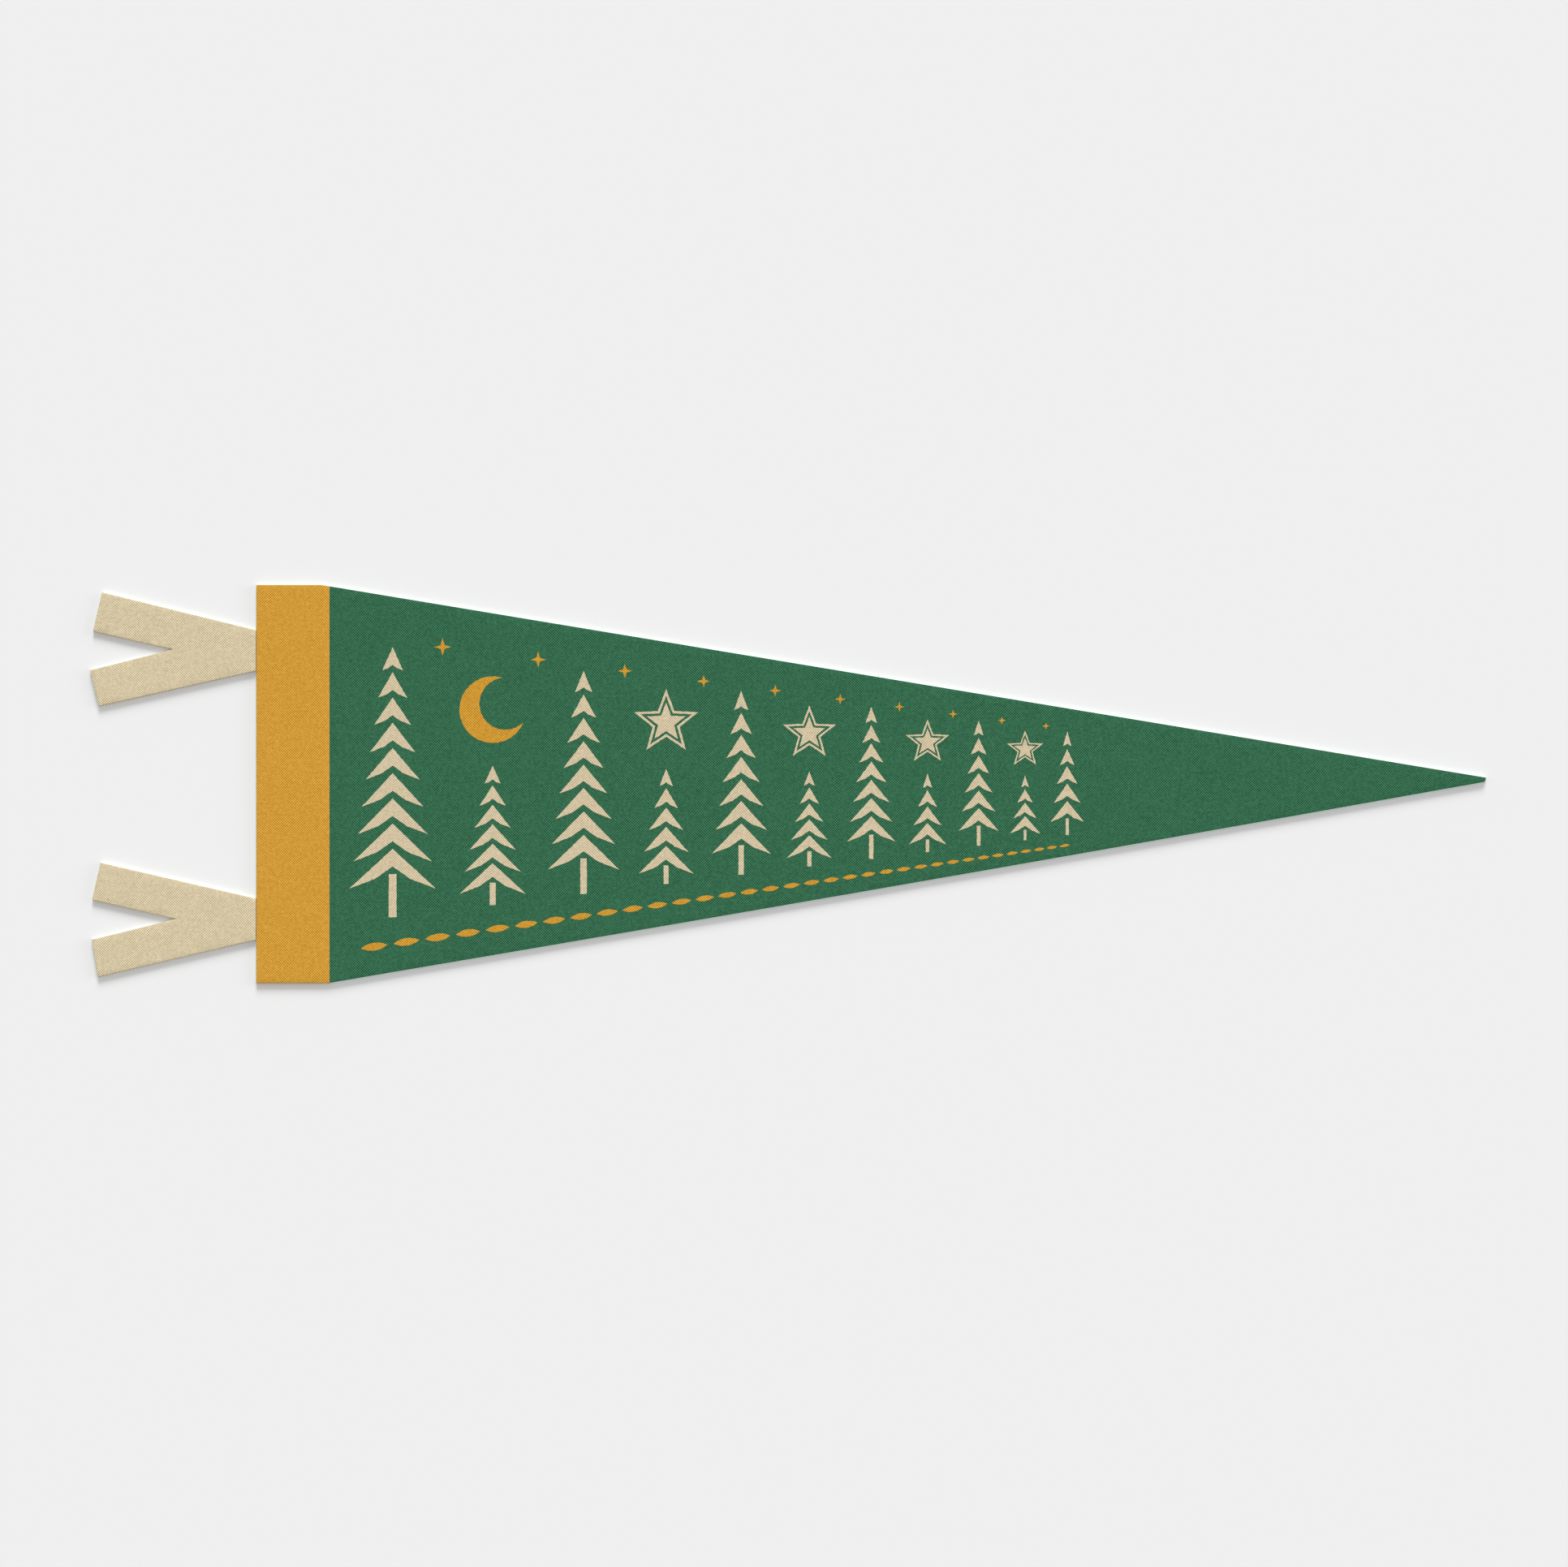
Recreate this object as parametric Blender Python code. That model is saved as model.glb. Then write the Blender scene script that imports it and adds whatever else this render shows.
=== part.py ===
# A cloth pennant flag that lies face up on a flat surface.
# It is a long triangular field, an upright header band over the field's hoist margin,
# and two forked ties whose root tabs are tucked under the band.
#
# Units are metres and +Z is up. +X runs from the ties to the tip, and +Y runs up the hoist.
# The pieces are drawn from the hoist edge (x = 0) and the middle of the band (y = 0), and
# then shifted, so that the origin is the middle of the whole flag on the surface below it.

import math

import bmesh
import bpy

# Outline sizes
HOIST_HEIGHT = 0.2256  # height of the header band
BAND_WIDTH = 0.0416
BAND_TRIM_DROP = 0.00075  # the band's upper fly corner is cut off along the field's slope
BAND_TRIM_RUN = 0.0044
FLY_LENGTH = 0.6558  # from the seam to the tip
TIP_HEIGHT = 0.0025  # the tip is cut blunt
TIP_RISE = 0.00235  # the tip's middle lies this much above the middle of the band
TIP_LEAN = 0.0011  # the tip's lower corner is this much short of the upper one
LOWER_EDGE_BOW = 0.0009  # the lower edge bellies out a little
LOWER_EDGE_STEPS = 16

# Cloth and seams
CLOTH = 0.0022
BAND_PROUD = 0.0001  # the band stands this much above the field and the ties
GAP = 0.0003  # free space between neighbouring pieces
MARGIN_CLOTH = 0.0009  # the tucked-in margins are pressed thin, so that the seams lie flat
FIELD_LAP = 0.016
FIELD_MARGIN_INSET = 0.004  # from the band's upper and lower ends
TIE_LAP = 0.018
CUT_EDGE_ROUND = 0.00015
CUTTER_SPARE = 0.002  # how far a cutter runs past the piece it cuts

# Forked ties, from the hoist edge. root_y is where a tail's middle line meets the band, root_width is
# measured along the band, and end_width along the cut end, which leans cut_deg from the hoist.
UP, DOWN = 1, -1
TAILS = [
    {"tie": "tie_upper", "side": UP, "root_y": 0.0764, "root_width": 0.0216,
     "lean_deg": 13.3, "length": 0.0922, "end_width": 0.0226, "cut_deg": 13.2},
    {"tie": "tie_upper", "side": DOWN, "root_y": 0.0761, "root_width": 0.0238,
     "lean_deg": 13.4, "length": 0.0941, "end_width": 0.0209, "cut_deg": 14.0},
    {"tie": "tie_lower", "side": UP, "root_y": -0.0760, "root_width": 0.0220,
     "lean_deg": 13.0, "length": 0.0928, "end_width": 0.0216, "cut_deg": 12.8},
    {"tie": "tie_lower", "side": DOWN, "root_y": -0.0768, "root_width": 0.0230,
     "lean_deg": 13.6, "length": 0.0939, "end_width": 0.0213, "cut_deg": 9.8},
]

# Colours, linear RGB
GREEN = (0.037, 0.144, 0.074)
GOLD = (0.617, 0.319, 0.042)
CREAM = (0.665, 0.558, 0.371)
CLOTH_ROUGHNESS = 0.9

SEAM_X = BAND_WIDTH
FIELD_START_X = SEAM_X + GAP
FLY_END_X = SEAM_X + FLY_LENGTH
BAND_TOP_Y = HOIST_HEIGHT / 2
BAND_CLOTH = CLOTH + BAND_PROUD
POCKET_ROOF = MARGIN_CLOTH + GAP


def cloth_material(name, colour):
    """Matt woven cloth in one colour."""
    material = bpy.data.materials.new(name)
    material.use_nodes = True
    shader = material.node_tree.nodes["Principled BSDF"]
    shader.inputs["Base Color"].default_value = (*colour, 1.0)
    shader.inputs["Roughness"].default_value = CLOTH_ROUGHNESS
    shader.inputs["Metallic"].default_value = 0.0
    return material


def crossing(a, b, c, d):
    """The point where the line through a and b meets the line through c and d."""
    run_1, rise_1 = b[0] - a[0], b[1] - a[1]
    run_2, rise_2 = d[0] - c[0], d[1] - c[1]
    along = ((c[0] - a[0]) * rise_2 - (c[1] - a[1]) * run_2) / (run_1 * rise_2 - rise_1 * run_2)
    return (a[0] + along * run_1, a[1] + along * rise_1)


def tail_corners(tail):
    """A tail's outer root, outer end, inner end and inner root."""
    side = tail["side"]
    lean = math.radians(tail["lean_deg"])
    cut = math.radians(tail["cut_deg"])
    end_x = -tail["length"] * math.cos(lean)
    end_y = tail["root_y"] + side * tail["length"] * math.sin(lean)
    half_x = tail["end_width"] / 2 * math.sin(cut)
    half_y = side * tail["end_width"] / 2 * math.cos(cut)
    half_root = side * tail["root_width"] / 2
    return (
        (0.0, tail["root_y"] + half_root),
        (end_x + half_x, end_y + half_y),
        (end_x - half_x, end_y - half_y),
        (0.0, tail["root_y"] - half_root),
    )


def fork_outline(name):
    """A tie's outline: two tails that part at a notch, and the tab that goes under the band."""
    upper, lower = [tail for tail in TAILS if tail["tie"] == name]
    up_root, up_outer, up_inner, up_inner_root = tail_corners(upper)
    low_root, low_outer, low_inner, low_inner_root = tail_corners(lower)
    notch = crossing(up_inner, up_inner_root, low_inner, low_inner_root)
    tab_top, tab_bottom = (TIE_LAP, up_root[1]), (TIE_LAP, low_root[1])
    return [tab_top, up_root, up_outer, up_inner, notch, low_inner, low_outer, low_root, tab_bottom]


def tab_span(name):
    """The lower and upper edge of a tie's tab, as heights on the hoist."""
    heights = [y for x, y in FORKS[name] if x == TIE_LAP]
    return min(heights), max(heights)


def band_outline():
    """An upright strip with its upper fly corner trimmed along the field's slope."""
    return [
        (0.0, BAND_TOP_Y),
        (0.0, -BAND_TOP_Y),
        (SEAM_X, -BAND_TOP_Y),
        (SEAM_X, BAND_TOP_Y - BAND_TRIM_DROP),
        (SEAM_X - BAND_TRIM_RUN, BAND_TOP_Y),
    ]


def field_outline():
    """A long triangle with a blunt tip, a bowed lower edge and a margin to tuck under the band."""
    margin_x = FIELD_START_X - FIELD_LAP
    margin_y = BAND_TOP_Y - FIELD_MARGIN_INSET
    low_start = (FIELD_START_X, -BAND_TOP_Y)
    low_end = (FLY_END_X - TIP_LEAN, TIP_RISE - TIP_HEIGHT / 2)
    lower_edge = []
    for step in range(LOWER_EDGE_STEPS + 1):
        share = step / LOWER_EDGE_STEPS
        bow = LOWER_EDGE_BOW * 4 * share * (1 - share)
        x = low_start[0] + share * (low_end[0] - low_start[0])
        y = low_start[1] + share * (low_end[1] - low_start[1]) - bow
        lower_edge.append((x, y))
    return [
        (margin_x, margin_y),
        (margin_x, -margin_y),
        (FIELD_START_X, -margin_y),
        *lower_edge,
        (FLY_END_X, TIP_RISE + TIP_HEIGHT / 2),
        (FIELD_START_X, BAND_TOP_Y - BAND_TRIM_DROP),
        (FIELD_START_X, margin_y),
    ]


FORKS = {name: fork_outline(name) for name in ("tie_upper", "tie_lower")}
TIE_REACH_X = min(x for outline in FORKS.values() for x, _ in outline)
MIDDLE_X = (FLY_END_X + TIE_REACH_X) / 2


def flat_cloth(name, outline, thickness, material):
    """A piece of cloth cut to an outline, flat on the surface, with its cut upper edge softened."""
    mesh = bpy.data.meshes.new(name)
    bm = bmesh.new()
    under = bm.faces.new([bm.verts.new((x - MIDDLE_X, y, 0.0)) for x, y in outline])
    raised = bmesh.ops.extrude_face_region(bm, geom=[under])["geom"]
    upper_verts = [part for part in raised if isinstance(part, bmesh.types.BMVert)]
    bmesh.ops.translate(bm, vec=(0.0, 0.0, thickness), verts=upper_verts)
    bmesh.ops.recalc_face_normals(bm, faces=bm.faces)
    rim = [edge for edge in bm.edges if all(vert in upper_verts for vert in edge.verts)]
    bmesh.ops.bevel(
        bm, geom=rim, offset=CUT_EDGE_ROUND, segments=1, profile=0.5, affect="EDGES", material=-1
    )
    bm.to_mesh(mesh)
    bm.free()
    mesh.materials.append(material)
    piece = bpy.data.objects.new(name, mesh)
    bpy.context.collection.objects.link(piece)
    return piece


def cut_box(piece, name, low, high):
    """Takes the box between two corners away from a piece."""
    mesh = bpy.data.meshes.new(name)
    bm = bmesh.new()
    bmesh.ops.create_cube(bm, size=1.0)
    size = [top - bottom for bottom, top in zip(low, high)]
    middle = [(top + bottom) / 2 for bottom, top in zip(low, high)]
    bmesh.ops.scale(bm, vec=size, verts=bm.verts)
    bmesh.ops.translate(bm, vec=(middle[0] - MIDDLE_X, middle[1], middle[2]), verts=bm.verts)
    bm.to_mesh(mesh)
    bm.free()
    cutter = bpy.data.objects.new(name, mesh)
    bpy.context.collection.objects.link(cutter)
    cutter.display_type = "WIRE"
    cutter.hide_render = True
    cut = piece.modifiers.new(name, "BOOLEAN")
    cut.operation = "DIFFERENCE"
    cut.solver = "EXACT"
    cut.object = cutter


def make_field(material):
    """The field, full thickness from the seam on and pressed thin where it goes under the band."""
    field = flat_cloth("field", field_outline(), CLOTH, material)
    low = (FIELD_START_X - FIELD_LAP - CUTTER_SPARE, -BAND_TOP_Y, MARGIN_CLOTH)
    high = (FIELD_START_X, BAND_TOP_Y, CLOTH + CUTTER_SPARE)
    cut_box(field, "press_field_margin", low, high)


def make_tie(name, material):
    """A forked tie, full thickness up to the hoist edge and pressed thin where it goes under the band."""
    tie = flat_cloth(name, FORKS[name], CLOTH, material)
    tab_bottom, tab_top = tab_span(name)
    low = (-GAP, tab_bottom - CUTTER_SPARE, MARGIN_CLOTH)
    high = (TIE_LAP + CUTTER_SPARE, tab_top + CUTTER_SPARE, CLOTH + CUTTER_SPARE)
    cut_box(tie, "press_" + name, low, high)


def make_band(material):
    """The header band, relieved underneath where the field's margin and the ties' tabs lie."""
    band = flat_cloth("header_band", band_outline(), BAND_CLOTH, material)
    margin_y = BAND_TOP_Y - FIELD_MARGIN_INSET + GAP
    low = (FIELD_START_X - FIELD_LAP - GAP, -margin_y, -CUTTER_SPARE)
    high = (SEAM_X + CUTTER_SPARE, margin_y, POCKET_ROOF)
    cut_box(band, "pocket_field_margin", low, high)
    for name in FORKS:
        tab_bottom, tab_top = tab_span(name)
        low = (-CUTTER_SPARE, tab_bottom - GAP, -CUTTER_SPARE)
        high = (TIE_LAP + GAP, tab_top + GAP, POCKET_ROOF)
        cut_box(band, "pocket_" + name, low, high)


def main():
    for old in list(bpy.data.objects):
        bpy.data.objects.remove(old)
    make_field(cloth_material("green_cotton_canvas", GREEN))
    make_band(cloth_material("gold_cotton_canvas", GOLD))
    cream = cloth_material("cream_cotton_canvas", CREAM)
    for name in FORKS:
        make_tie(name, cream)


main()
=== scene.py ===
# The looks of a cloth pennant flag: woven canvas, printed ornament, pale floor, soft light and camera.
# Units are metres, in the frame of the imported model: +X runs from the ties to the tip, +Y up the hoist.

import math
import random

import bmesh
import bpy
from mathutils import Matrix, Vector, noise


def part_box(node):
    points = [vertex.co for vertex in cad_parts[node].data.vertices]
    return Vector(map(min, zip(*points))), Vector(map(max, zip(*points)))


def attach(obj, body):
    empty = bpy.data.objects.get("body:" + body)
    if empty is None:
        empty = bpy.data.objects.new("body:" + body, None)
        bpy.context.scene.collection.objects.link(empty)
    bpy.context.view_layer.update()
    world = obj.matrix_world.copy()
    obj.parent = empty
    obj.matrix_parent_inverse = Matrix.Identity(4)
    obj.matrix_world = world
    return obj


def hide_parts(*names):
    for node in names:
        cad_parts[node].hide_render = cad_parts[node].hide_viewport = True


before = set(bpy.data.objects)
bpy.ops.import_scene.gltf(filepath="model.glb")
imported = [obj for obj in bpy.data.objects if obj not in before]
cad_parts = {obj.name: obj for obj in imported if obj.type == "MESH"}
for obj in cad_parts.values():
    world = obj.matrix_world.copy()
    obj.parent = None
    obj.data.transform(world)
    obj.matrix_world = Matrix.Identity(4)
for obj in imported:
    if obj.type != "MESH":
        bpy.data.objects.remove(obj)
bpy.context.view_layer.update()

MM = 0.001

# The photograph
PHOTO_WIDTH_PX = 1932
PHOTO_HEIGHT_PX = 1931
PHOTO_SEAM_X_PX = 405.5  # where the band meets the field
PHOTO_MIDDLE_Y_PX = 965.95  # the middle of the band
MM_PER_PX = 0.46

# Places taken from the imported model
BAND_LOW, BAND_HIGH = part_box("header_band")
TIP_X, _, CLOTH_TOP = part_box("field")[1]
HOIST_X = BAND_LOW[0]
SEAM_X = BAND_HIGH[0]

# Cloth
SEAM_GAP = 0.3 * MM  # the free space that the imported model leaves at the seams
SEAM_CLOSE = 0.2 * MM  # how much of it the soft cloth fills
EDGE_SOFTENING = 0.12 * MM
RIM_DEPTH = 0.4 * MM  # the cloth's top and its rim lie within this of its highest point
WELD = 0.001 * MM  # corners closer together than this become one
FLAT_STEP = 0.01 * MM  # heights closer together than this count as one level
FLAT_ANGLE = math.radians(1)  # faces that turn less than this are one side of the cloth
CORNER_ANGLE = math.radians(20)  # edges that turn more than this are softened
CREASE_ANGLE = math.radians(50)  # edges that still turn more than this are shaded sharp
CUT_LEAN = 0.3  # the cut edges' normals point up less than this, and to their own side more
FIELD_FOOT = 0.45 * MM  # how far the foot of the field's lower cut edge reaches out past its top
OTHER_FOOT = 0.3 * MM  # the same at the tip and at the lower cut edges of the band and the ties
HOIST_INSET = 0.35 * MM  # how far the top of the band's hoist edge is set back from its foot
GRID = 5.0 * MM
SWELL = 0.10 * MM  # how far the flat cloth rises and falls
SWELL_LENGTH = 55.0 * MM
INK_LIFT = 0.01 * MM
INK_THICKNESS = 0.05 * MM
INK_EDGE_STEP = 1.0 * MM
INK_EDGE_ROUGHNESS = 0.12 * MM


def linear(hex_colour):
    """An sRGB hex colour as linear RGBA."""
    channels = [int(hex_colour[i:i + 2], 16) / 255 for i in (1, 3, 5)]
    return (*(c / 12.92 if c <= 0.04045 else ((c + 0.055) / 1.055) ** 2.4 for c in channels), 1.0)


# Materials

# The threads lie as far apart as the real ones, which is 1.6 pixels of the photograph's frame. In a
# render of half that size the weave still reads as a fine grain.
THREAD_PITCH = 0.73 * MM
THREAD_WANDER = 1.0 * MM  # how far a thread strays from its straight line
WANDER_LENGTH = 14.0 * MM  # how long the bends of a straying thread are
SLUB_WIDTH = 1.4 * MM  # a slub is a thick or thin stretch of yarn
SLUB_LENGTH = 11.0 * MM
GRAIN_SIZE = 1.3 * MM  # spots of a few threads that took more or less dye than their neighbours
CLOUD_SIZE = 36.0 * MM  # broad patches where the dye took a little more or less
# how strongly the painted light and shade of the threads shows in the colour
PAINTED_THREAD_SHADE = 0.80
SLUB_CONTRAST = 0.20
GRAIN_CONTRAST = 0.95
CLOUD_CONTRAST = 0.09
THREAD_RELIEF = 0.05 * MM  # how far the threads' tops stand above the lines between them


def add_node(tree, kind, settings=None, inputs=None):
    """Adds a node. Inputs are values, or output sockets to link."""
    node = tree.nodes.new(kind)
    for name, value in (settings or {}).items():
        setattr(node, name, value)
    for key, value in (inputs or {}).items():
        if isinstance(value, bpy.types.NodeSocket):
            tree.links.new(value, node.inputs[key])
        else:
            node.inputs[key].default_value = value
    return node


def woven_tone(tree):
    """How light the weave is, from 0 to 1, with painted light and shade on its threads and their uneven dye,
    and how high its threads' tops stand.
    """
    place = add_node(tree, "ShaderNodeTexCoord").outputs["Object"]

    # Plain weave: a checker of painted light and shade, where the threads of one way are painted lit and
    # those of the other painted shaded
    wander = add_node(tree, "ShaderNodeTexNoise", {}, {
        "Vector": place, "Scale": 1 / WANDER_LENGTH, "Detail": 1.0})
    strayed = add_node(tree, "ShaderNodeVectorMath", {"operation": "MULTIPLY_ADD"}, {
        0: wander.outputs["Color"], 1: (THREAD_WANDER,) * 3, 2: place})
    phase = add_node(tree, "ShaderNodeVectorMath", {"operation": "SCALE"}, {
        0: strayed.outputs[0], "Scale": math.pi / THREAD_PITCH})
    waves = add_node(tree, "ShaderNodeVectorMath", {"operation": "SINE"}, {0: phase.outputs[0]})
    axes = add_node(tree, "ShaderNodeSeparateXYZ", {}, {0: waves.outputs[0]})
    checker = add_node(tree, "ShaderNodeMath", {"operation": "MULTIPLY"}, {
        0: axes.outputs["X"], 1: axes.outputs["Y"]})
    height = add_node(tree, "ShaderNodeMath", {"operation": "ABSOLUTE"}, {0: checker.outputs[0]})

    # Slubs, lengthwise and crosswise
    slubs = []
    for size in ((SLUB_LENGTH, SLUB_WIDTH), (SLUB_WIDTH, SLUB_LENGTH)):
        drawn_out = add_node(tree, "ShaderNodeMapping", {"vector_type": "TEXTURE"}, {
            "Vector": place, "Scale": (*size, 1.0)})
        slubs.append(add_node(tree, "ShaderNodeTexNoise", {}, {
            "Vector": drawn_out.outputs[0], "Scale": 1.0, "Detail": 2.0, "Roughness": 0.6}).outputs["Fac"])
    both = add_node(tree, "ShaderNodeMath", {"operation": "ADD"}, dict(enumerate(slubs)))
    uneven = add_node(tree, "ShaderNodeMath", {"operation": "SUBTRACT"}, {0: both.outputs[0], 1: 1.0})
    grain = add_node(tree, "ShaderNodeTexNoise", {}, {
        "Vector": place, "Scale": 1 / GRAIN_SIZE, "Detail": 1.0})
    cloud = add_node(tree, "ShaderNodeTexNoise", {}, {
        "Vector": place, "Scale": 1 / CLOUD_SIZE, "Detail": 3.0})

    # A noise is 0.5 in the middle, so half of its contrast is taken off again
    tone = 0.5 - 0.5 * GRAIN_CONTRAST - 0.5 * CLOUD_CONTRAST
    for part, contrast in (
            (checker.outputs[0], PAINTED_THREAD_SHADE), (uneven.outputs[0], SLUB_CONTRAST),
            (grain.outputs["Fac"], GRAIN_CONTRAST), (cloud.outputs["Fac"], CLOUD_CONTRAST)):
        tone = add_node(tree, "ShaderNodeMath", {"operation": "MULTIPLY_ADD"}, {
            0: part, 1: contrast, 2: tone}).outputs[0]
    return tone, height.outputs[0]


def canvas(name, shade_and_dark_dye, highlight_and_light_dye):
    """Matt plain-weave cotton canvas. Its colours are the ends of its tone: the darkest is painted shade on
    its threads together with their darker dye, the lightest a painted highlight on its threads together with
    their lighter dye.
    """
    material = bpy.data.materials.new(name)
    material.use_nodes = True
    tree = material.node_tree
    shader = tree.nodes["Principled BSDF"]
    tone, height = woven_tone(tree)
    colour = add_node(tree, "ShaderNodeMix", {"data_type": "RGBA"}, {
        "Factor": tone, "A": linear(shade_and_dark_dye), "B": linear(highlight_and_light_dye)})
    bump = add_node(tree, "ShaderNodeBump", {}, {"Height": height, "Distance": THREAD_RELIEF})
    tree.links.new(colour.outputs["Result"], shader.inputs["Base Color"])
    tree.links.new(bump.outputs[0], shader.inputs["Normal"])
    shader.inputs["Roughness"].default_value = 0.92
    shader.inputs["Specular IOR Level"].default_value = 0.12
    shader.inputs["Sheen Weight"].default_value = 0.03
    shader.inputs["Sheen Roughness"].default_value = 0.5
    return material


# Every canvas below holds painted shade and a painted highlight on its threads in its two colours, besides
# its dye
# Cotton canvas dyed bottle green: deep and flat, with a fine dark grain
GREEN_CANVAS = canvas("bottle_green_cotton_canvas", "#104028", "#44805E")

# The same canvas dyed golden yellow: warm, with a fine brownish grain
GOLD_CANVAS = canvas("golden_yellow_cotton_canvas", "#AB740F", "#E4AF49")

# Undyed cotton canvas: cream, with a soft oatmeal grain
CREAM_CANVAS = canvas("undyed_cotton_canvas", "#AFA07E", "#E9DAB9")

# The core of the canvas where it is cut, which the dye doesn't reach: a thin, nearly white line
CUT_EDGE = canvas("bare_cotton_at_the_cut_edge", "#D6DAD0", "#F0F2EA")

# The same core in the field, where a little green has crept in: pale mint
GREEN_CUT_EDGE = canvas("mint_tinged_cotton_at_the_cut_edge", "#CADDD0", "#E4F4E8")

# Cream ink, screen printed: it takes the grain of the canvas below, and covers its green
CREAM_INK = canvas("cream_screen_print", "#AE9D7D", "#E5D6B5")

# Golden ink, screen printed in the same way
GOLD_INK = canvas("golden_screen_print", "#A67010", "#E2AC42")


def painted_board():
    """Board painted matt white: pale, smooth and plain."""
    material = bpy.data.materials.new("matt_white_painted_board")
    material.use_nodes = True
    shader = material.node_tree.nodes["Principled BSDF"]
    shader.inputs["Base Color"].default_value = linear("#E8E8E8")
    shader.inputs["Roughness"].default_value = 0.95
    shader.inputs["Specular IOR Level"].default_value = 0.0
    return material


# Cloth pieces

def swell(point):
    """The small rise and fall of cloth that lies flat, as a height."""
    return SWELL * noise.noise(Vector((point.x, point.y, 0.0)) / SWELL_LENGTH)


def grid_cuts(bm, spacing):
    """Cuts a flat piece along a square grid, so that its faces follow the cloth's small swells."""
    for axis in (Vector((1, 0, 0)), Vector((0, 1, 0))):
        places = [vert.co.dot(axis) for vert in bm.verts]
        first, last = math.ceil(min(places) / spacing), math.floor(max(places) / spacing)
        for step in range(first, last + 1):
            everything = bm.verts[:] + bm.edges[:] + bm.faces[:]
            bmesh.ops.bisect_plane(
                bm, geom=everything, dist=WELD, plane_co=axis * step * spacing, plane_no=axis)


def finished(name, bm, materials):
    """Turns a bmesh into an object at the origin that rides on the part."""
    mesh = bpy.data.meshes.new(name)
    bm.to_mesh(mesh)
    bm.free()
    for material in materials:
        mesh.materials.append(material)
    piece = bpy.data.objects.new(name, mesh)
    bpy.context.collection.objects.link(piece)
    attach(piece, "root")
    return piece


def is_cut_face(face, side):
    """Whether a face belongs to a cut edge that looks to a side."""
    return abs(face.normal.z) < CUT_LEAN and face.normal.dot(side) > CUT_LEAN


def cloth_piece(node, name, cloth, cut_edge, slants, cloth_coloured_cut=None, stretch=()):
    """A woven sheet on a CAD node's outline, with cut edges that are bare of dye.

    slants lists (side, inset, reach) for cut edges that slant, so that they show from above: the
    edges that face that side have their top set back by inset and their foot out by reach. The
    edges that face cloth_coloured_cut keep the cloth's colour. stretch lists (x, shift) for edges that are
    drawn up to a seam.
    """
    bm = bmesh.new()
    bm.from_mesh(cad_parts[node].data)
    bmesh.ops.remove_doubles(bm, verts=bm.verts, dist=WELD)
    bmesh.ops.dissolve_limit(bm, angle_limit=FLAT_ANGLE, verts=[], edges=bm.edges)
    for place, shift in stretch:
        for vert in bm.verts:
            if abs(vert.co.x - place) < SEAM_GAP / 2:
                vert.co.x += shift
    top = max(vert.co.z for vert in bm.verts)
    for side, inset, reach in slants:
        cuts = [face for face in bm.faces if is_cut_face(face, side)
                and max(vert.co.z for vert in face.verts) > top - RIM_DEPTH]
        ends = {vert for face in cuts for vert in face.verts}
        for end in ends | {edge.other_vert(vert) for vert in ends for edge in vert.link_edges
                           if edge.other_vert(vert).co.z > top - FLAT_STEP}:
            end.co += side * (reach if end.co.z < FLAT_STEP else -inset)
    corners = [edge for edge in bm.edges if max(vert.co.z for vert in edge.verts) > top - RIM_DEPTH
               and edge.calc_face_angle(0.0) > CORNER_ANGLE]
    bmesh.ops.bevel(
        bm, geom=corners, offset=EDGE_SOFTENING, segments=2, profile=0.5, affect="EDGES", material=-1)
    grid_cuts(bm, GRID)
    bmesh.ops.dissolve_degenerate(bm, dist=WELD, edges=bm.edges)
    bmesh.ops.triangulate(bm, faces=[face for face in bm.faces if len(face.verts) > 4])
    for face in bm.faces:
        # Cut edges show the pale bare core, except those facing cloth_coloured_cut, which keep the cloth's
        # darker colour
        bare = abs(face.normal.z) < CUT_LEAN and not (cloth_coloured_cut and is_cut_face(face, cloth_coloured_cut))
        face.material_index = 1 if bare else 0
        face.smooth = True
    for edge in bm.edges:
        edge.smooth = edge.calc_face_angle(0.0) < CREASE_ANGLE
    for vert in bm.verts:
        if vert.co.z > top / 2:
            vert.co.z += swell(vert.co)
    piece = finished(name, bm, (cloth, cut_edge))
    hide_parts(node)
    return piece


LOWER = Vector((0, -1, 0))
HOIST = Vector((-1, 0, 0))
FLY_END = Vector((1, 0, 0))
FIELD = cloth_piece("field", "field_cloth", GREEN_CANVAS, GREEN_CUT_EDGE,
                    slants=((LOWER, 0.0, FIELD_FOOT), (FLY_END, 0.0, OTHER_FOOT)), cloth_coloured_cut=FLY_END)
# The band's and the ties' lower cut edges keep the cloth's darker colour: painted shade, a dark line along
# their shaded lower edge, on top of the lamps' own shade
BAND = cloth_piece("header_band", "header_band_cloth", GOLD_CANVAS, CUT_EDGE,
                   slants=((HOIST, HOIST_INSET, 0.0), (LOWER, 0.0, OTHER_FOOT)), cloth_coloured_cut=LOWER,
                   stretch=((SEAM_X, SEAM_CLOSE),))
TIES = [
    cloth_piece(node, node + "_cloth", CREAM_CANVAS, CUT_EDGE,
                slants=((LOWER, 0.0, OTHER_FOOT),), cloth_coloured_cut=LOWER,
                stretch=((HOIST_X - SEAM_GAP, SEAM_CLOSE),))
    for node in ("tie_upper", "tie_lower")
]


# Printed ornament, drawn in millimetres, with x from the seam and y from the middle of the hoist.
# A row of pines, with stars above the short ones, gets smaller to the tip as the field does.

FLY = (TIP_X - SEAM_X) / MM
ROW_START = 36.0
ROW_TREES = 11
BORDER_START = 18.0
BORDER_LEAVES = 34

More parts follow.
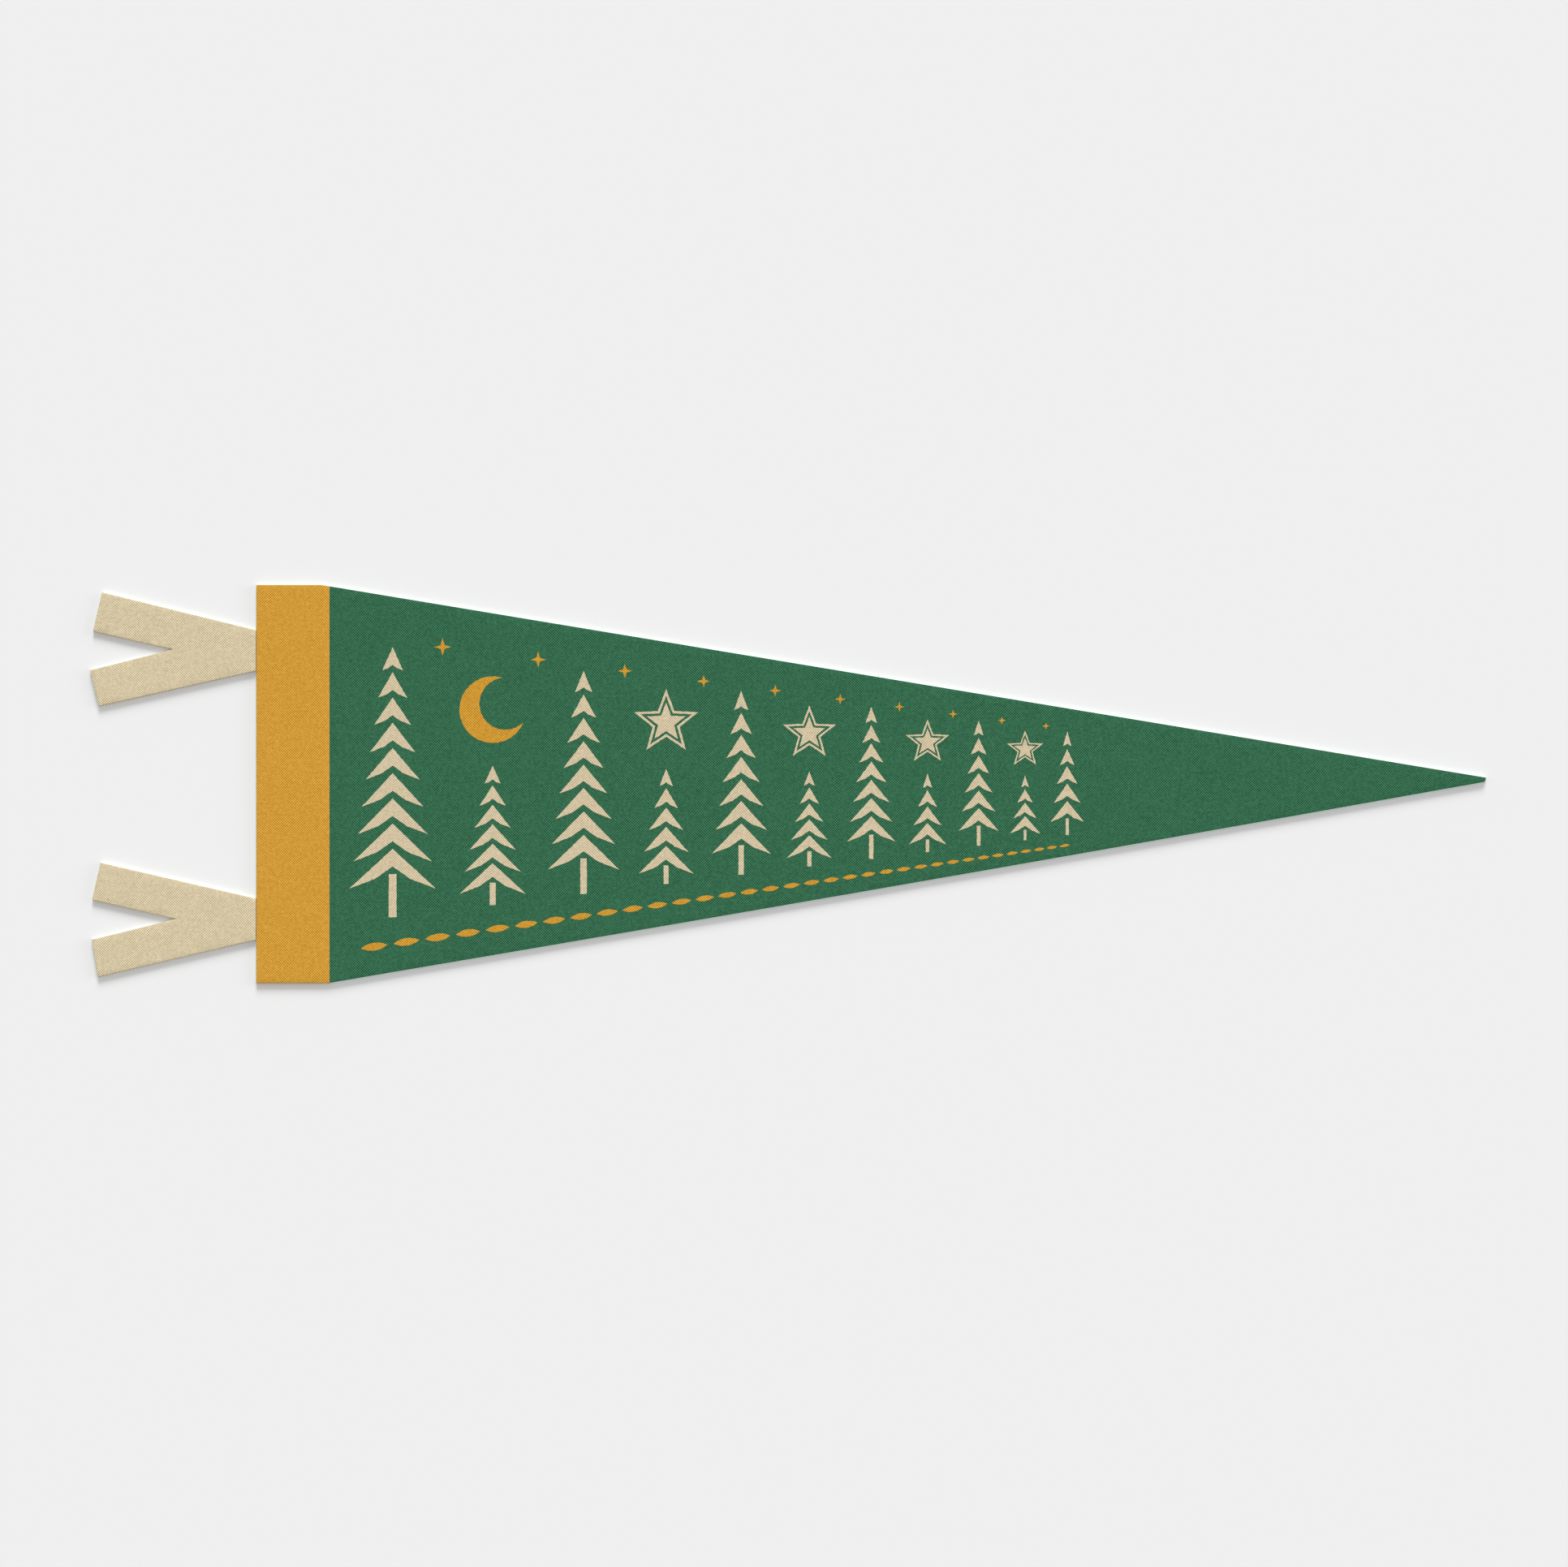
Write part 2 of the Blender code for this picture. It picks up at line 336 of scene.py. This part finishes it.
# Sizes as they would be at the hoist
ROW_STEP = 60.0
GROUND = -80.0
TALL_PINE = {"height": 162.0, "width": 52.0, "tiers": 9}
SHORT_PINE = {"height": 92.0, "width": 44.0, "tiers": 6}
STAR_Y = 49.0
STAR_RADIUS = 27.0
MOON_RADIUS = 22.0
SPARKLE_Y = 86.0
SPARKLE_RADIUS = 5.5
BORDER_Y = -96.0
BORDER_STEP = 19.0
LEAF_LENGTH = 15.5
LEAF_WIDTH = 4.6

# Shapes, as shares of the sizes
CROWN = 0.84  # of a pine's height is boughs, and the rest is trunk
TRUNK = 0.09  # of a pine's width
TOP_REACH = 0.24  # of the lowest boughs' reach is left at the top
BOUGH_DROOP = (0.72, 0.50)  # of the step between tiers, and of the bough's own reach
BOUGH_THICKNESS = 0.70  # of the step between tiers
BOUGH_KNEE = (0.40, 0.55)  # the bend in its lower edge: how far out, and how far down from the trunk
STAR_WAIST = 0.42  # of the radius is left between the tips
SPARKLE_WAIST = 0.32
STAR_LINE = (0.80, 0.60)  # of a large star's radius: the outer and the inner side of its bare line
MOON_BULGES = (-1.67, -1.03)  # of the radius: how far its outer and inner arc reach behind its horns
MOON_HORNS = (73, -23)  # where the horns are, in degrees from the x axis
MOON_ARC_STEPS = 22
LEAF_ARC_STEPS = 10

INK_RANDOM = random.Random(7)  # a fixed start, so that the ink's edges come out the same each time


def narrowing(x):
    """How much of the hoist's height the field still has at x."""
    return 1 - x / FLY


def row(start, step, count):
    """Places along the fly that draw closer as the field narrows."""
    places = [start]
    while len(places) < count:
        places.append(places[-1] + step * narrowing(places[-1]))
    return places


def patch(bm, points):
    """A flat patch with straight sides."""
    bm.faces.new([bm.verts.new((*point, 0.0)) for point in points])


def star(bm, x, y, radius, tips=5, waist=STAR_WAIST, filled=True):
    """A star with one tip pointing up. Returns its corners."""
    corners = bmesh.ops.create_circle(bm, cap_ends=filled, segments=2 * tips, radius=radius)["verts"]
    bmesh.ops.scale(bm, vec=(waist, waist, 1.0), verts=corners[1::2])
    bmesh.ops.translate(bm, vec=(x, y, 0.0), verts=corners)
    return corners


def inline_star(bm, x, y, radius):
    """A large star with a bare line that runs all round inside its edge."""
    rims = star(bm, x, y, radius, filled=False) + star(bm, x, y, radius * STAR_LINE[0], filled=False)
    bmesh.ops.bridge_loops(bm, edges=list({edge for corner in rims for edge in corner.link_edges}))
    star(bm, x, y, radius * STAR_LINE[1])


def two_arcs(bm, start, end, bulges, steps):
    """The outline between two arcs from start to end. A bulge is an arc's height, left of the way."""
    start, end = Vector((*start, 0.0)), Vector((*end, 0.0))
    way = end - start
    left = Vector((-way.y, way.x, 0.0)).normalized()
    for bulge in bulges:
        radius = (way.length_squared / 4 + bulge ** 2) / (2 * bulge)
        centre = (start + end) / 2 + left * (bulge - radius)
        bmesh.ops.spin(
            bm, geom=[bm.verts.new(start)], cent=centre, axis=(0.0, 0.0, 1.0), steps=steps,
            angle=-4 * math.atan(2 * bulge / way.length))


def crescent(bm, x, y, radius):
    """A moon that is open to the upper right."""
    horns = [(x + radius * math.cos(angle), y + radius * math.sin(angle))
             for angle in map(math.radians, MOON_HORNS)]
    two_arcs(bm, *horns, [radius * bulge for bulge in MOON_BULGES], steps=MOON_ARC_STEPS)


def pine(bm, x, ground, size, height, width, tiers):
    """A pine: tiers of drooping boughs that widen from the top down, and a short trunk."""
    height, width = height * size, width * size
    tiers = round(tiers * math.sqrt(size))  # a small pine has fewer, so that they stay apart
    step = CROWN * height / tiers
    for tier in range(tiers):
        top = ground + height - tier * step
        reach = width / 2 * (TOP_REACH + (1 - TOP_REACH) * tier / (tiers - 1))
        low = top - BOUGH_DROOP[0] * step - BOUGH_DROOP[1] * reach
        fork = top - BOUGH_THICKNESS * step
        out, knee = BOUGH_KNEE[0] * reach, fork + BOUGH_KNEE[1] * (low - fork)
        patch(bm, [(x, top), (x - reach, low), (x - out, knee), (x, fork), (x + out, knee), (x + reach, low)])
    half, top = TRUNK * width / 2, ground + (1 - CROWN) * height
    patch(bm, [(x - half, ground), (x + half, ground), (x + half, top), (x - half, top)])


def printed(name, bm, material):
    """Fills the drawn outlines with ink, which has rough edges and some thickness, on the field."""
    bmesh.ops.scale(bm, vec=(MM, MM, MM), verts=bm.verts)
    bmesh.ops.translate(bm, vec=(SEAM_X, 0.0, 0.0), verts=bm.verts)
    bmesh.ops.remove_doubles(bm, verts=bm.verts, dist=WELD)
    bmesh.ops.edgeloop_fill(bm, edges=[edge for edge in bm.edges if edge.is_wire])
    for edge in [edge for edge in bm.edges if edge.is_boundary]:
        cuts = int(edge.calc_length() / INK_EDGE_STEP)
        if cuts:
            bmesh.ops.subdivide_edges(bm, edges=[edge], cuts=cuts)
    for vert in bm.verts:
        vert.co.x += INK_RANDOM.uniform(-1, 1) * INK_EDGE_ROUGHNESS
        vert.co.y += INK_RANDOM.uniform(-1, 1) * INK_EDGE_ROUGHNESS
    grid_cuts(bm, GRID)
    bmesh.ops.triangulate(bm, faces=bm.faces)
    raised = bmesh.ops.extrude_face_region(bm, geom=bm.faces[:], use_keep_orig=True)["geom"]
    upper = {part for part in raised if isinstance(part, bmesh.types.BMVert)}
    for vert in bm.verts:
        height = INK_THICKNESS if vert in upper else 0.0
        vert.co.z = CLOTH_TOP + INK_LIFT + height + swell(vert.co)
    bmesh.ops.recalc_face_normals(bm, faces=bm.faces)
    piece = finished(name, bm, (material,))
    return piece


def cream_print():
    """The pines, and a large star over each short one but the first."""
    bm = bmesh.new()
    for index, x in enumerate(row(ROW_START, ROW_STEP, ROW_TREES)):
        size = narrowing(x)
        kind = SHORT_PINE if index % 2 else TALL_PINE
        pine(bm, x, GROUND * size, size, **kind)
        if index % 2 and index > 1:
            inline_star(bm, x, STAR_Y * size, STAR_RADIUS * size)
    return printed("print_cream", bm, CREAM_INK)


def gold_print():
    """A crescent moon over the first short pine, sparkles, and a border of leaves along the ground."""
    bm = bmesh.new()
    trees = row(ROW_START, ROW_STEP, ROW_TREES)
    size = narrowing(trees[1])
    crescent(bm, trees[1], STAR_Y * size, MOON_RADIUS * size)
    for left, right in zip(trees, trees[1:]):
        x = (left + right) / 2
        size = narrowing(x)
        star(bm, x, SPARKLE_Y * size, SPARKLE_RADIUS * size, tips=4, waist=SPARKLE_WAIST)
    for x in row(BORDER_START, BORDER_STEP, BORDER_LEAVES):
        size = narrowing(x)
        end = x + LEAF_LENGTH * size
        half = LEAF_WIDTH * size / 2
        low_end = (end, BORDER_Y * narrowing(end))
        two_arcs(bm, (x, BORDER_Y * size), low_end, (half, -half), steps=LEAF_ARC_STEPS)
    return printed("print_gold", bm, GOLD_INK)


CREAM_PRINT = cream_print()
GOLD_PRINT = gold_print()


# Floor, light and camera

FLOOR_SIZE = 40.0  # wide enough to fill the picture in low views too
FLOOR_DROP = 0.1 * MM  # keeps the floor clear of the cloth's underside
LIGHTS = (  # turn is from +Y to +X, and all the angles are in degrees
    {"name": "softbox_top", "turn": 3, "elevation": 23.5, "width": 24, "strength": 3.28},
    {"name": "softbox_right", "turn": 78, "elevation": 15, "width": 24, "strength": 0.75},
)
SKY_STRENGTH = 0.595
LENS_MM = 85.0
SENSOR_MM = 36.0
CAMERA_REACH = 50.0  # farther than the floor's edge in low views


def make_floor():
    bm = bmesh.new()
    bmesh.ops.create_grid(bm, x_segments=1, y_segments=1, size=FLOOR_SIZE / 2)
    bmesh.ops.translate(bm, vec=(0.0, 0.0, -FLOOR_DROP), verts=bm.verts)
    mesh = bpy.data.meshes.new("floor")
    bm.to_mesh(mesh)
    bm.free()
    mesh.materials.append(painted_board())
    floor = bpy.data.objects.new("floor", mesh)
    bpy.context.collection.objects.link(floor)


def make_lights():
    """A wide low light from the top of the picture, a weak one from its right, and an even sky."""
    for softbox in LIGHTS:
        light = bpy.data.lights.new(softbox["name"], "SUN")
        light.energy = softbox["strength"]
        light.angle = math.radians(softbox["width"])
        lamp = bpy.data.objects.new(softbox["name"], light)
        turn, rise = math.radians(softbox["turn"]), math.radians(softbox["elevation"])
        towards = Vector((math.sin(turn) * math.cos(rise), math.cos(turn) * math.cos(rise), math.sin(rise)))
        lamp.rotation_euler = towards.to_track_quat("Z", "Y").to_euler()
        bpy.context.collection.objects.link(lamp)
    world = bpy.data.worlds.new("even_sky")
    world.use_nodes = True
    sky = world.node_tree.nodes["Background"]
    sky.inputs["Color"].default_value = (1.0, 1.0, 1.0, 1.0)
    sky.inputs["Strength"].default_value = SKY_STRENGTH
    bpy.context.scene.world = world


def make_camera():
    """Straight above the flag, with the photograph's frame."""
    camera = bpy.data.cameras.new("camera")
    camera.lens = LENS_MM
    camera.sensor_width = SENSOR_MM
    camera.sensor_fit = "HORIZONTAL"
    camera.clip_end = CAMERA_REACH
    eye = bpy.data.objects.new("camera", camera)
    middle_x = SEAM_X + (PHOTO_WIDTH_PX / 2 - PHOTO_SEAM_X_PX) * MM_PER_PX * MM
    middle_y = (PHOTO_MIDDLE_Y_PX - PHOTO_HEIGHT_PX / 2) * MM_PER_PX * MM
    distance = PHOTO_WIDTH_PX * MM_PER_PX * MM * LENS_MM / SENSOR_MM
    eye.location = (middle_x, middle_y, CLOTH_TOP + distance)
    bpy.context.collection.objects.link(eye)
    bpy.context.scene.camera = eye


make_floor()
make_lights()
make_camera()
bpy.context.scene.view_settings.view_transform = "Standard"
